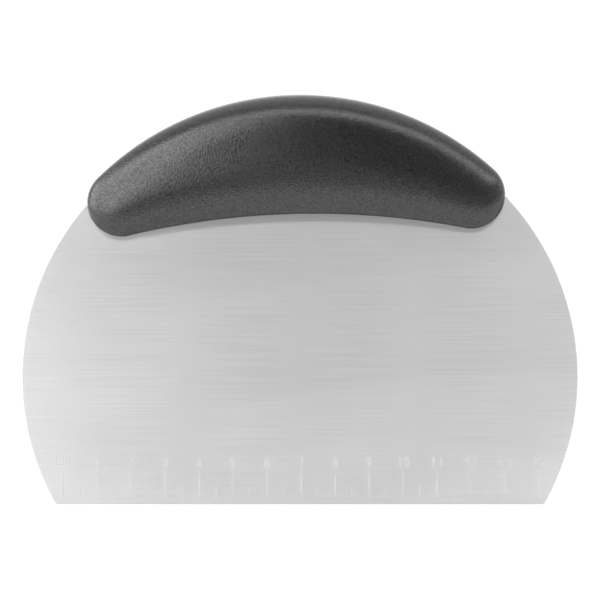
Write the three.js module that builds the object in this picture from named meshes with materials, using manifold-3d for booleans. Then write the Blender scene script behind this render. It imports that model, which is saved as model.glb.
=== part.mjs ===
// Bench scraper: a D-shaped stainless blade with a ground scraping edge and an engraved
// centimetre scale, held in an over-moulded handle. The handle is a black skin around two
// pre-moulded core halves, which clamp the blade's tang between them.
// Millimetres. +Z up, X along the scraping edge, front face towards -Y.
// The origin is the middle of the scraping edge.

import * as THREE from "three";
import { ParametricGeometry } from "three/addons/geometries/ParametricGeometry.js";
import { mergeVertices } from "three/addons/utils/BufferGeometryUtils.js";
import Module from "manifold-3d";

const wasm = await Module();
wasm.setup();

// ---- Driving dimensions -------------------------------------------------------------

// Clearance between any two pieces that touch.
const FIT_GAP = 0.3;

// Blade: two side arcs over a straight edge.
const BLADE_WIDTH = 163.4; // across the widest point
const BLADE_SIDE_RADIUS = 77.1;
const BLADE_WIDEST_HEIGHT = 37.6; // above the scraping edge
const BLADE_THICKNESS = 1.0;
const BLADE_CORNER_RADIUS = 1.2;
const BEVEL_HEIGHT = 2.1;
const EDGE_THICKNESS = 0.4;

// Engraved scale on the front face.
const CM = 10;
const MARK_WIDTH = 0.45;
const MARK_DEPTH = 0.08;
const CM_MARK_LENGTH = 6.8;
const HALF_MARK_LENGTH = 2.9;
const MARK_ABOVE_BEVEL = 0.6;
const SCALE_SHIFT = 0.3; // how far off the blade's centre line the scale is etched
const SCALE_END_MARGIN = 1.5; // least blade left beyond the first and last mark

// Handle outline: top arc, underside arc and two round ends, all tangent.
const GRIP_LENGTH = 123;
const GRIP_HEIGHT = 35.1; // at the middle
const GRIP_TOP_RADIUS = 84.9;
const GRIP_END_RADIUS = 10;
const GRIP_CENTRE_HEIGHT = 103; // of the middle of the handle above the edge
const GRIP_SHIFT = -1.4; // how far off the blade's centre line the handle is moulded
const GRIP_TILT = THREE.MathUtils.degToRad(1.3); // left end low

// Handle section, seen along X.
const GRIP_THICKNESS = 17;
const LIP_THICKNESS = 5; // across the underside, where the blade comes out
const LIP_RADIUS = 0.8;
const LIP_RADIUS_TO_HEIGHT = 1 / 8; // where the ends are too small for the full lip radius
const LIP_RADIUS_TO_WIDTH = 1 / 3;
const WIDEST_SHARE = 0.5; // height of the thickest point, as a share of the section's height
const CROWN_DEPTH = 12; // from the top and end outline in to where the full thickness starts
const CROWN_FULLNESS = 2.2; // superellipse exponent of that rounding
const END_THINNING = 0.45; // share of the thickness that is gone at the ends
const SKIN_WALL = 2.6;

// Tang: the part of the blade that is inside the handle.
const SHOULDER_RISE = 1.6; // of the blade's shoulders above the centres of the round ends
const TANG_END_MARGIN = 5.3; // from the centre of a round end to the tang's side
const TANG_TOP_INSET = 7; // from the handle's top arc to the tang's
const TANG_CORNER_RADIUS = 4;
const SPLIT_DROP = 3; // of the line where the tang's outline starts, below the handle

// Anchors: three pegs lock the core halves through the tang, and two bridges of the skin
// pass through windows between the pegs.
const PEG_DIAMETER = 6;
const PEG_END_MARGIN = 12; // from the tang's side to the axis of an outer peg
const BRIDGE_DIAMETER = 6.4;
const ANCHOR_RISE = 12; // of every anchor above the handle's underside
const SOCKET_WALL = 1.2; // least left in the rear core behind a peg's socket

// Chords that each curve is drawn with.
const BLADE_STEPS = { corner: 4, side: 20, shoulder: 14, tangCorner: 5, tangTop: 12 };
const OUTER_STEPS = { crown: 8, flank: 5, lip: 2, underside: 1, along: 44 };
const INNER_STEPS = { crown: 5, flank: 3, lip: 1, underside: 1, along: 28 };
const BAR_STEPS = 28;

const MERGE_DISTANCE = 1e-4; // points closer than this are one point
const OVERRUN = 1; // how far a cutting or joining shape runs past what it cuts or joins

const STEEL = { color: 0xc9cacb, metalness: 1, roughness: 0.35 };
const CORE_PLASTIC = { color: 0x2c2c2d, metalness: 0, roughness: 0.5 };
const SKIN_PLASTIC = { color: 0x3b3b3c, metalness: 0, roughness: 0.6 };

const RIGHT_ANGLE = Math.PI / 2;

// ---- Solids and meshes ----------------------------------------------------------------

// A closed geometry as a solid: shared vertices merged, collapsed triangles dropped.
function solid(geometry) {
  const bare = new THREE.BufferGeometry();
  bare.setAttribute("position", geometry.getAttribute("position"));
  bare.setIndex(geometry.getIndex());
  const merged = mergeVertices(bare, MERGE_DISTANCE);
  const kept = [];
  const index = merged.getIndex().array;
  for (let i = 0; i < index.length; i += 3) {
    const [a, b, c] = [index[i], index[i + 1], index[i + 2]];
    if (a !== b && b !== c && c !== a) kept.push(a, b, c);
  }
  return new wasm.Manifold(
    new wasm.Mesh({
      numProp: 3,
      vertProperties: merged.getAttribute("position").array,
      triVerts: new Uint32Array(kept),
    }),
  );
}

function geometryOf(made) {
  const { vertProperties, triVerts } = made.getMesh();
  const geometry = new THREE.BufferGeometry();
  geometry.setAttribute("position", new THREE.BufferAttribute(vertProperties, 3));
  geometry.setIndex(new THREE.BufferAttribute(triVerts, 1));
  return geometry;
}

function namedMesh(name, made, finish) {
  const geometry = geometryOf(made);
  geometry.computeVertexNormals();
  const mesh = new THREE.Mesh(geometry, new THREE.MeshStandardMaterial(finish));
  mesh.name = name;
  return mesh;
}

// ---- Outlines in the X-Z plane ------------------------------------------------------

// Points along an arc from one angle to another, ends included.
function arc(x, z, radius, from, to, steps) {
  const clockwise = to < from;
  return new THREE.EllipseCurve(x, z, radius, radius, from, to, clockwise).getPoints(steps);
}

// The right half of an outline, joined to its mirror image.
function symmetric(rightHalf) {
  const leftHalf = rightHalf.map((p) => new THREE.Vector2(-p.x, p.y)).reverse();
  return new THREE.Shape([...rightHalf, ...leftHalf]);
}

// An outline as a sheet whose middle plane is y = 0.
function sheet(shape, thickness) {
  const geometry = new THREE.ExtrudeGeometry(shape, { depth: thickness, bevelEnabled: false });
  return solid(geometry.rotateX(RIGHT_ANGLE).translate(0, thickness / 2, 0));
}

function box(x0, x1, y0, y1, z0, z1) {
  const geometry = new THREE.BoxGeometry(x1 - x0, y1 - y0, z1 - z0);
  return solid(geometry.translate((x0 + x1) / 2, (y0 + y1) / 2, (z0 + z1) / 2));
}

// A round bar along Y from y0 to y1.
function bar(x, z, diameter, y0, y1) {
  const geometry = new THREE.CylinderGeometry(diameter / 2, diameter / 2, y1 - y0, BAR_STEPS);
  return solid(geometry.translate(x, (y0 + y1) / 2, z));
}

// ---- Handle outline, about the handle's own middle ------------------------------------

const endCentreX = GRIP_LENGTH / 2 - GRIP_END_RADIUS;
const topCentreZ = GRIP_HEIGHT / 2 - GRIP_TOP_RADIUS;
const endCentreZ =
  topCentreZ + Math.sqrt((GRIP_TOP_RADIUS - GRIP_END_RADIUS) ** 2 - endCentreX ** 2);

// The underside arc goes through the middle of the underside and is tangent to the ends.
const endRise = endCentreZ + GRIP_HEIGHT / 2;
const undersideRadius =
  (endCentreX ** 2 + endRise ** 2 - GRIP_END_RADIUS ** 2) / (2 * (GRIP_END_RADIUS - endRise));
const undersideCentreZ = -GRIP_HEIGHT / 2 - undersideRadius;

// Top and bottom of the outline at x, with the outline drawn in by inset all round.
function outlineSpan(x, inset) {
  const along = Math.abs(x);
  const endRadius = GRIP_END_RADIUS - inset;
  const topRadius = GRIP_TOP_RADIUS - inset;
  const lowRadius = undersideRadius + inset;
  const overEnd = Math.sqrt(Math.max(0, endRadius ** 2 - (along - endCentreX) ** 2));
  const topTangent = (endCentreX * topRadius) / (topRadius - endRadius);
  const lowTangent = (endCentreX * lowRadius) / (lowRadius + endRadius);
  const top =
    along < topTangent
      ? topCentreZ + Math.sqrt(topRadius ** 2 - along ** 2)
      : endCentreZ + overEnd;
  const bottom =
    along < lowTangent
      ? undersideCentreZ + Math.sign(lowRadius) * Math.sqrt(lowRadius ** 2 - along ** 2)
      : endCentreZ - overEnd;
  return { top, bottom };
}

// Distance from (x, z) up or out to the outline drawn in by inset: to an end circle beyond the
// line through its centre and the top arc's, and to the top arc elsewhere.
function outlineDepth(x, z, inset) {
  const along = Math.abs(x);
  const beyondEnd = along * (endCentreZ - topCentreZ) > endCentreX * (z - topCentreZ);
  return beyondEnd
    ? GRIP_END_RADIUS - inset - Math.hypot(along - endCentreX, z - endCentreZ)
    : GRIP_TOP_RADIUS - inset - Math.hypot(along, z - topCentreZ);
}

// ---- Handle body --------------------------------------------------------------------

// Share of the full thickness that is reached at (x, z), with the outline drawn in by inset.
function crownShare(x, z, inset) {
  const depth = Math.max(0, outlineDepth(x, z, inset));
  const left = Math.max(0, 1 - depth / (CROWN_DEPTH - inset));
  return (1 - left ** CROWN_FULLNESS) ** (1 / CROWN_FULLNESS);
}

// Half thickness of the flank at a share of the section's height, from lip to thickest point.
function flank(share, lip, widest) {
  const below = Math.max(0, 1 - share / WIDEST_SHARE);
  return lip + (widest - lip) * (1 - below ** 2);
}

// Sizes of the section at x, with the handle's shape drawn in by inset all round.
function section(x, inset) {
  const { top, bottom } = outlineSpan(x, inset);
  const height = top - bottom;
  const plan = 1 - END_THINNING * (x / (GRIP_LENGTH / 2)) ** 2;
  const full = (GRIP_THICKNESS / 2) * plan - inset;
  const share = crownShare(x, bottom + WIDEST_SHARE * height, inset);
  const drawnInLip = flank(inset / GRIP_HEIGHT, LIP_THICKNESS / 2, GRIP_THICKNESS / 2) - inset;
  return { bottom, height, full, widest: full * share, lip: drawnInLip * plan * share };
}

// The handle's outer shape drawn in by inset, as one closed surface: rings of points around
// the section, strung along X from end to end. Steps counts the points on each stretch.
function handleBody(inset, steps) {
  const halfLength = GRIP_LENGTH / 2 - inset;
  const half = steps.crown + steps.flank + steps.lip + steps.underside;
  const crownEnd = steps.crown / half;
  const flankEnd = crownEnd + steps.flank / half;
  const lipEnd = flankEnd + steps.lip / half;

  // One point of half a section: y outwards and z up, for w from 0 at the top to 1 at the
  // middle of the underside.
  function sectionPoint(x, w) {
    const { bottom, height, full, widest, lip } = section(x, inset);
    if (height < MERGE_DISTANCE) return [0, bottom]; // the very end is a point
    const round = Math.min(
      LIP_RADIUS, height * LIP_RADIUS_TO_HEIGHT, lip * LIP_RADIUS_TO_WIDTH,
    );
    const flankAt = (z) => flank(z / height, lip, widest);
    if (w <= crownEnd) {
      const angle = (w / crownEnd) * RIGHT_ANGLE;
      const up = Math.max(0, Math.cos(angle)) ** (2 / CROWN_FULLNESS);
      const z = bottom + height * (WIDEST_SHARE + (1 - WIDEST_SHARE) * up);
      return [full * crownShare(x, z, inset), z];
    }
    if (w <= flankEnd) {
      const down = (w - crownEnd) / (flankEnd - crownEnd);
      const z = THREE.MathUtils.lerp(WIDEST_SHARE * height, round, down);
      return [flankAt(z), bottom + z];
    }
    if (w <= lipEnd) {
      const start = new THREE.Vector2(flankAt(round), bottom + round);
      const corner = new THREE.Vector2(lip, bottom);
      const end = new THREE.Vector2(lip - round, bottom);
      const share = (w - flankEnd) / (lipEnd - flankEnd);
      return new THREE.QuadraticBezierCurve(start, corner, end).getPoint(share).toArray();
    }
    return [(lip - round) * (1 - (w - lipEnd) / (1 - lipEnd)), bottom];
  }

  // u goes round the section, down the front and up the back; v goes from left to right.
  function surface(u, v, target) {
    const x = halfLength * Math.sin(Math.PI * (v - 0.5));
    const front = u <= 0.5;
    const [y, z] = sectionPoint(x, front ? 2 * u : 2 - 2 * u);
    target.set(x, front ? -y : y, z);
  }

  return solid(new ParametricGeometry(surface, 2 * half, steps.along));
}

// ---- Anchors along the handle ---------------------------------------------------------

const tangHalfWidth = endCentreX - TANG_END_MARGIN;
const outerPegX = tangHalfWidth - PEG_END_MARGIN;

function anchor(x) {
  return { x, z: outlineSpan(x, 0).bottom + ANCHOR_RISE };
}

const pegs = [-outerPegX, 0, outerPegX].map(anchor);
const bridges = [-outerPegX / 2, outerPegX / 2].map(anchor);
const windowDiameter = BRIDGE_DIAMETER + 2 * FIT_GAP;
const socketDiameter = PEG_DIAMETER + 2 * FIT_GAP;

// ---- Scene graph --------------------------------------------------------------------

const scraper = new THREE.Group();
const handle = new THREE.Group();
handle.position.set(GRIP_SHIFT, 0, GRIP_CENTRE_HEIGHT);
handle.rotation.y = -GRIP_TILT;
scraper.add(handle);
scraper.updateMatrixWorld(true);

// ---- Blade --------------------------------------------------------------------------

const sideCentreX = BLADE_WIDTH / 2 - BLADE_SIDE_RADIUS;
const handleLowestZ =
  GRIP_CENTRE_HEIGHT + endCentreZ - GRIP_END_RADIUS - endCentreX * Math.sin(GRIP_TILT);
const splitZ = handleLowestZ - SPLIT_DROP;
const shoulderZ = GRIP_CENTRE_HEIGHT + endCentreZ + SHOULDER_RISE;

// Angle on a side arc at which it reaches a height.
function sideAngle(z) {
  return Math.asin((z - BLADE_WIDEST_HEIGHT) / BLADE_SIDE_RADIUS);
}

// The open sheet from the scraping edge to the split line, with its outline grown.
function lowerSheet(grow, thickness) {
  const toCorner = BLADE_SIDE_RADIUS - BLADE_CORNER_RADIUS;
  const cornerX =
    sideCentreX + Math.sqrt(toCorner ** 2 - (BLADE_WIDEST_HEIGHT - BLADE_CORNER_RADIUS) ** 2);
  const cornerEnd = Math.asin((BLADE_CORNER_RADIUS - BLADE_WIDEST_HEIGHT) / toCorner);
  const corner = arc(
    cornerX, BLADE_CORNER_RADIUS, BLADE_CORNER_RADIUS + grow,
    -RIGHT_ANGLE, cornerEnd, BLADE_STEPS.corner,
  );
  const side = arc(
    sideCentreX, BLADE_WIDEST_HEIGHT, BLADE_SIDE_RADIUS + grow,
    cornerEnd, sideAngle(splitZ), BLADE_STEPS.side,
  );
  return sheet(symmetric([...corner, ...side.slice(1)]), thickness);
}

// The sheet above the split line: full width up to the shoulders, then the tang.
function upperSheet(grow, thickness) {
  const apex = Math.acos(Math.max(0, -sideCentreX) / BLADE_SIDE_RADIUS);
  const side = arc(
    sideCentreX, BLADE_WIDEST_HEIGHT, BLADE_SIDE_RADIUS + grow,
    sideAngle(splitZ), apex, BLADE_STEPS.shoulder,
  );
  const disc = sheet(symmetric(side), thickness);
  const topRadius = GRIP_TOP_RADIUS - TANG_TOP_INSET;
  const topZ = GRIP_CENTRE_HEIGHT + topCentreZ;
  const cornerX = tangHalfWidth - TANG_CORNER_RADIUS;
  const toCorner = topRadius - TANG_CORNER_RADIUS;
  const cornerZ = topZ + Math.sqrt(toCorner ** 2 - cornerX ** 2);
  const cornerEnd = Math.acos(cornerX / toCorner);
  const corner = arc(
    cornerX, cornerZ, TANG_CORNER_RADIUS + grow, 0, cornerEnd, BLADE_STEPS.tangCorner,
  );
  const top = arc(0, topZ, topRadius + grow, cornerEnd, RIGHT_ANGLE, BLADE_STEPS.tangTop);
  const footZ = splitZ - OVERRUN;
  const foot = new THREE.Vector2(tangHalfWidth + grow, footZ);
  const tang = sheet(symmetric([foot, ...corner, ...top.slice(1, -1)]), thickness + OVERRUN);
  const wide = BLADE_WIDTH;
  const belowShoulders = box(-wide, wide, -thickness, thickness, footZ, shoulderZ + grow);
  return disc.intersect(belowShoulders.add(tang));
}

// What the blade takes out of the handle's pieces, in the handle's own frame.
function bladeSlot() {
  const thickness = BLADE_THICKNESS + 2 * FIT_GAP;
  const slot = upperSheet(FIT_GAP, thickness).add(lowerSheet(FIT_GAP, thickness));
  return solid(geometryOf(slot).applyMatrix4(handle.matrixWorld.clone().invert()));
}

// The prism that one side of the ground bevel takes off; side is -1 at the front, 1 behind.
function bevelCut(side) {
  const lean = ((BLADE_THICKNESS - EDGE_THICKNESS) / 2 / BEVEL_HEIGHT) * OVERRUN;
  const outer = BLADE_THICKNESS / 2 + lean;
  const profile = new THREE.Shape([
    new THREE.Vector2(EDGE_THICKNESS / 2 - lean, -OVERRUN),
    new THREE.Vector2(outer, -OVERRUN),
    new THREE.Vector2(outer, BEVEL_HEIGHT + OVERRUN),
  ]);
  const geometry = new THREE.ExtrudeGeometry(profile, { depth: BLADE_WIDTH, bevelEnabled: false });
  geometry.translate(0, 0, -BLADE_WIDTH / 2).rotateX(RIGHT_ANGLE).rotateZ((side * Math.PI) / 2);
  return solid(geometry);
}

// One engraved line of the scale, as the sliver that it takes out of the front face.
function markCut(x, length) {
  const bottom = BEVEL_HEIGHT + MARK_ABOVE_BEVEL;
  const front = -BLADE_THICKNESS / 2;
  const [left, right] = [x - MARK_WIDTH / 2, x + MARK_WIDTH / 2];
  return box(left, right, front - OVERRUN, front + MARK_DEPTH, bottom, bottom + length);
}

// Every mark of the scale: a long one at each centimetre, a short one between each two.
function scaleCuts() {
  const edgeHalf =
    sideCentreX + Math.sqrt(BLADE_SIDE_RADIUS ** 2 - BLADE_WIDEST_HEIGHT ** 2);
  const reach = edgeHalf - SCALE_END_MARGIN - Math.abs(SCALE_SHIFT);
  const count = Math.floor((2 * reach) / CM);
  const start = SCALE_SHIFT - (count * CM) / 2;
  const cuts = [];
  for (let i = 0; i <= 2 * count; i++) {
    cuts.push(markCut(start + (i * CM) / 2, i % 2 ? HALF_MARK_LENGTH : CM_MARK_LENGTH));
  }
  return cuts;
}

function makeBlade() {
  let blade = lowerSheet(0, BLADE_THICKNESS).add(upperSheet(0, BLADE_THICKNESS));
  const holes = [
    ...pegs.map((p) => ({ ...p, diameter: socketDiameter })),
    ...bridges.map((p) => ({ ...p, diameter: windowDiameter })),
  ];
  for (const { x, z, diameter } of holes) {
    const at = handle.localToWorld(new THREE.Vector3(x, 0, z));
    blade = blade.subtract(bar(at.x, at.z, diameter, -BLADE_THICKNESS, BLADE_THICKNESS));
  }
  for (const cut of [bevelCut(-1), bevelCut(1), ...scaleCuts()]) blade = blade.subtract(cut);
  return blade;
}

// ---- Handle pieces --------------------------------------------------------------------

// Half of the inner body with the windows cut: side is -1 for the front half, 1 for the rear.
function coreHalf(side, slot) {
  const far = GRIP_LENGTH;
  const [y0, y1] = side < 0 ? [-far, -FIT_GAP / 2] : [FIT_GAP / 2, far];
  let half = handleBody(SKIN_WALL + FIT_GAP, INNER_STEPS)
    .intersect(box(-far, far, y0, y1, -far, far))
    .subtract(slot);
  for (const { x, z } of bridges) {
    half = half.subtract(bar(x, z, windowDiameter, -GRIP_THICKNESS, GRIP_THICKNESS));
  }
  return half;
}

const slot = bladeSlot();

// Depth of a peg's socket in the rear core from the middle plane, set by the thinnest core
// behind any of them: at the outer, lower edge of an outer socket.
function findSocketDepth() {
  const coreInset = SKIN_WALL + FIT_GAP;
  const { height, widest, lip } = section(outerPegX + socketDiameter / 2, coreInset);
  const rise = ANCHOR_RISE - socketDiameter / 2 - coreInset;
  return flank(rise / height, lip, widest) - SOCKET_WALL;
}

const socketDepth = findSocketDepth();

function makeFrontCore() {
  let core = coreHalf(-1, slot);
  for (const { x, z } of pegs) {
    core = core.add(bar(x, z, PEG_DIAMETER, -socketDepth, socketDepth - FIT_GAP));
  }
  return core;
}

function makeRearCore() {
  let core = coreHalf(1, slot);
  for (const { x, z } of pegs) {
    core = core.subtract(bar(x, z, socketDiameter, -socketDepth, socketDepth));
  }
  return core;
}

function makeGrip() {
  const outer = handleBody(0, OUTER_STEPS);
  let grip = outer.subtract(handleBody(SKIN_WALL, INNER_STEPS)).subtract(slot);
  for (const { x, z } of bridges) {
    const bridge = bar(x, z, BRIDGE_DIAMETER, -GRIP_THICKNESS, GRIP_THICKNESS);
    grip = grip.add(bridge.intersect(outer));
  }
  return grip;
}

scraper.add(namedMesh("blade", makeBlade(), STEEL));
handle.add(
  namedMesh("core_front", makeFrontCore(), CORE_PLASTIC),
  namedMesh("core_rear", makeRearCore(), CORE_PLASTIC),
  namedMesh("grip", makeGrip(), SKIN_PLASTIC),
);

export default scraper;
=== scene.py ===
"""Looks of a bench scraper: brushed stainless blade, etched centimetre scale, moulded handle.

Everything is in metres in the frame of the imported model: +X along the scraping edge, -Y the
front, +Z up, with the origin in the middle of the scraping edge. Sizes are written in
millimetres and turned to metres by mm().
"""

from __future__ import annotations

import logging
import math
from dataclasses import dataclass, field
from enum import Enum
from typing import Any, Sequence

import bmesh
import bpy
from mathutils import Matrix, Vector


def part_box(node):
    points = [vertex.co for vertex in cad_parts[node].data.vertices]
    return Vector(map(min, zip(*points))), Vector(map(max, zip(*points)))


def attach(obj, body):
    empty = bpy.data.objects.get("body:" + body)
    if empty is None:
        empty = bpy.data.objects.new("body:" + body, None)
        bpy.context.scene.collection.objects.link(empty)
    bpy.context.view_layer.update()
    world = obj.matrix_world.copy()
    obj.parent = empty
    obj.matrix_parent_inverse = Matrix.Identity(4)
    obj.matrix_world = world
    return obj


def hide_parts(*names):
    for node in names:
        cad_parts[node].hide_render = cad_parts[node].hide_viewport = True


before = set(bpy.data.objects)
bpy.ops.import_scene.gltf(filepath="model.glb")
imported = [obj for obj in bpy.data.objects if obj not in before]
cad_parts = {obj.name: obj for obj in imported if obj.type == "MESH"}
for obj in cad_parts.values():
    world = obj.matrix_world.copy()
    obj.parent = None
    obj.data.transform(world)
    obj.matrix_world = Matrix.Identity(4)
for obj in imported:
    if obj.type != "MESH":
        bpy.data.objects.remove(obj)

LOG = logging.getLogger("bench_scraper")
ROOT_BODY = "root"
Point = tuple[float, float]
Size = tuple[float, float, float]
NOISE_LOW, NOISE_HIGH = 0.3, 0.7  # nearly all of a noise lies between them
COLLAPSE = 10  # a face is collapsed when it is this many times thinner than the merging distance
BOW_STEP = 15  # degrees of a numeral's bow that one chord takes
LEAST_BOW_STEPS = 4
LEAST_MITRE = 0.35  # keeps the point of a sharp bend short


# ---- Units, colours and nodes ---------------------------------------------------------


def mm(value: float) -> float:
    """Millimetres as metres."""
    return value * 0.001


def srgb(code: str) -> tuple[float, float, float, float]:
    """Turns an sRGB hex colour to the linear colour that shaders take.

    Args:
        code: six hex digits, such as "c8c8c6".

    Returns:
        Linear red, green and blue, and an alpha of 1.
    """
    channels = [int(code[i : i + 2], 16) / 255 for i in (0, 2, 4)]
    linear = [c / 12.92 if c <= 0.04045 else ((c + 0.055) / 1.055) ** 2.4 for c in channels]
    return (linear[0], linear[1], linear[2], 1.0)


def add_node(
    tree: bpy.types.NodeTree,
    kind: str,
    settings: dict[str, Any] | None = None,
    inputs: dict[str | int, Any] | None = None,
) -> bpy.types.Node:
    """Adds a node to a tree, with its settings, its values and its links.

    Args:
        tree: the shader or geometry tree.
        kind: the node's type name.
        settings: attributes of the node, such as its operation.
        inputs: for each input, by name or number, a value or the output socket to link.

    Returns:
        The new node.
    """
    node = tree.nodes.new(kind)
    for name, value in (settings or {}).items():
        setattr(node, name, value)
    for key, value in (inputs or {}).items():
        socket = node.inputs[key]
        if isinstance(value, bpy.types.NodeSocket):
            tree.links.new(value, socket)
        else:
            socket.default_value = value
    return node


# ---- Fields: arithmetic on sockets ------------------------------------------------------


@dataclass(frozen=True)
class Field:
    """A number that varies over a shape or a surface: a socket with arithmetic on it."""

    tree: bpy.types.NodeTree
    socket: bpy.types.NodeSocket

    def calculate(self, operation: str, *others: Field | float) -> Field:
        """Adds one maths node.

        Args:
            operation: the node's operation, such as "MULTIPLY".
            others: the operands after this one.

        Returns:
            The node's result.
        """
        node = add_node(self.tree, "ShaderNodeMath", {"operation": operation})
        for place, value in enumerate((self, *others)):
            if isinstance(value, Field):
                self.tree.links.new(value.socket, node.inputs[place])
            else:
                node.inputs[place].default_value = value
        return Field(self.tree, node.outputs[0])

    def __add__(self, other: Field | float) -> Field:
        """Sum."""
        return self.calculate("ADD", other)

    def __sub__(self, other: Field | float) -> Field:
        """Difference."""
        return self.calculate("SUBTRACT", other)

    def __rsub__(self, other: float) -> Field:
        """Difference from a plain number."""
        return self * -1.0 + other

    def __mul__(self, other: Field | float) -> Field:
        """Product."""
        return self.calculate("MULTIPLY", other)

    def __truediv__(self, other: Field | float) -> Field:
        """Quotient, which is 0 where other is 0."""
        return self.calculate("DIVIDE", other)

    def __rtruediv__(self, other: float) -> Field:
        """Quotient of a plain number and this."""
        return self ** -1.0 * other

    def __pow__(self, other: Field | float) -> Field:
        """Power."""
        return self.calculate("POWER", other)

    def __abs__(self) -> Field:
        """Size without sign."""
        return self.calculate("ABSOLUTE")

    def __lt__(self, other: Field | float) -> Field:
        """1 where this is below other, and 0 elsewhere."""
        return self.calculate("LESS_THAN", other)

    def root(self) -> Field:
        """Square root, which is 0 below 0."""
        return self.at_least(0.0).calculate("SQRT")

    def sine(self) -> Field:
        """Sine of an angle in radians."""
        return self.calculate("SINE")

    def cosine(self) -> Field:
        """Cosine of an angle in radians."""
        return self.calculate("COSINE")

    def arcsine(self) -> Field:
        """Angle in radians."""
        return self.calculate("ARCSINE")

    def at_least(self, low: Field | float) -> Field:
        """The larger of the two."""
        return self.calculate("MAXIMUM", low)

    def at_most(self, high: Field | float) -> Field:
        """The smaller of the two."""
        return self.calculate("MINIMUM", high)

    def choose(self, where_true: Field, where_false: Field) -> Field:
        """Picks between two fields by this one.

        Args:
            where_true: the result where this is above 0.
            where_false: the result elsewhere.

        Returns:
            The field so picked.
        """
        picks = {"Switch": self.socket, "False": where_false.socket, "True": where_true.socket}
        node = add_node(self.tree, "GeometryNodeSwitch", {"input_type": "FLOAT"}, picks)
        return Field(self.tree, node.outputs[0])


class GeometryProgram:
    """A Geometry Nodes tree with named inputs, run once on an empty object."""

    def __init__(self, name: str) -> None:
        """Starts an empty tree.

        Args:
            name: the tree's name.
        """
        self.tree = bpy.data.node_groups.new(name, "GeometryNodeTree")
        interface = self.tree.interface
        interface.new_socket("Geometry", in_out="OUTPUT", socket_type="NodeSocketGeometry")
        self.start = add_node(self.tree, "NodeGroupInput")
        self.end = add_node(self.tree, "NodeGroupOutput")
        self.values: dict[str, Any] = {}

    def number(self, name: str, value: float) -> Field:
        """Adds a named input for a length, an angle or a share.

        Args:
            name: what the input is called.
            value: what it is set to when the tree is run.

        Returns:
            The input as a field.
        """
        return Field(self.tree, self._socket(name, value, "NodeSocketFloat"))

    def count(self, name: str, value: int) -> bpy.types.NodeSocket:
        """Adds a named whole-number input.

        Args:
            name: what the input is called.
            value: what it is set to when the tree is run.

        Returns:
            The input's socket.
        """
        return self._socket(name, value, "NodeSocketInt")

    def _socket(self, name: str, value: Any, kind: str) -> bpy.types.NodeSocket:
        """Adds an input to the tree and remembers its value."""
        made = self.tree.interface.new_socket(name, in_out="INPUT", socket_type=kind)
        self.values[made.identifier] = value
        return self.start.outputs[made.identifier]

    def run(self, geometry: bpy.types.NodeSocket, material: bpy.types.Material) -> bpy.types.Mesh:
        """Closes the tree, evaluates it and returns what it makes.

        Args:
            geometry: the socket that holds the finished shape.
            material: set on the whole shape.

        Returns:
            A plain mesh.
        """
        real = add_node(self.tree, "GeometryNodeRealizeInstances", inputs={"Geometry": geometry})
        dressed = {"Geometry": real.outputs[0], "Material": material}
        painted = add_node(self.tree, "GeometryNodeSetMaterial", inputs=dressed)
        self.tree.links.new(painted.outputs[0], self.end.inputs[0])
        holder = new_object(self.tree.name + "_holder", bpy.data.meshes.new(self.tree.name))
        modifier = holder.modifiers.new("program", "NODES")
        modifier.node_group = self.tree
        for identifier, value in self.values.items():
            modifier[identifier] = value
        mesh = evaluated_mesh(holder)
        holder.modifiers.remove(modifier)
        bpy.data.objects.remove(holder)
        return mesh


# ---- Mesh helpers -----------------------------------------------------------------------


def new_object(name: str, data: bpy.types.ID | None) -> bpy.types.Object:
    """Makes an object at the origin and links it to the scene.

    Args:
        name: the object's name.
        data: its mesh, curve, light or camera.

    Returns:
        The object.
    """
    made = bpy.data.objects.new(name, data)
    bpy.context.scene.collection.objects.link(made)
    return made


def evaluated_mesh(obj: bpy.types.Object) -> bpy.types.Mesh:
    """The mesh that an object's curve and modifiers make, as plain data."""
    graph = bpy.context.evaluated_depsgraph_get()
    return bpy.data.meshes.new_from_object(obj.evaluated_get(graph), depsgraph=graph)


def tidy_mesh(mesh: bpy.types.Mesh, merge: float = mm(0.0005)) -> None:
    """Merges doubled points, drops collapsed faces and turns every face outwards.

    Args:
        mesh: the mesh, changed in place.
        merge: how close two points are to be one.
    """
    work = bmesh.new()
    work.from_mesh(mesh)
    bmesh.ops.remove_doubles(work, verts=work.verts, dist=merge)
    bmesh.ops.dissolve_degenerate(work, edges=work.edges, dist=merge / COLLAPSE)
    bmesh.ops.recalc_face_normals(work, faces=work.faces)
    work.to_mesh(mesh)
    work.free()


def shade(mesh: bpy.types.Mesh, crease: float) -> None:
    """Shades a mesh smooth, with a crisp line wherever it turns by more than an angle.

    Args:
        mesh: the mesh, changed in place.
        crease: the angle, in degrees.
    """
    mesh.shade_smooth()
    mesh.set_sharp_from_angle(angle=math.radians(crease))


class Joining(Enum):
    """What a boolean step does with a tool."""

    CUT = "DIFFERENCE"
    ADD = "UNION"


def combined(
    body: bpy.types.Mesh, tools: Sequence[bpy.types.Mesh], joining: Joining, crossing: bool = False
) -> bpy.types.Mesh:
    """Cuts or joins closed meshes; the faces that a tool leaves keep the tool's material.

    Args:
        body: the mesh to work on.
        tools: the meshes that cut it or join it.
        joining: what is done with them.
        crossing: whether a tool may run through itself.

    Returns:
        The result as a new mesh.
    """
    subject = new_object("subject", body)
    helpers = [new_object("tool", tool) for tool in tools]
    for helper in helpers:
        step = subject.modifiers.new("cut", "BOOLEAN")
        step.operation = joining.value
        step.solver = "EXACT"
        step.use_self = crossing
        step.material_mode = "TRANSFER"
        step.object = helper
    result = evaluated_mesh(subject)
    for thing in (subject, *helpers):
        bpy.data.objects.remove(thing)
    return result


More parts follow.
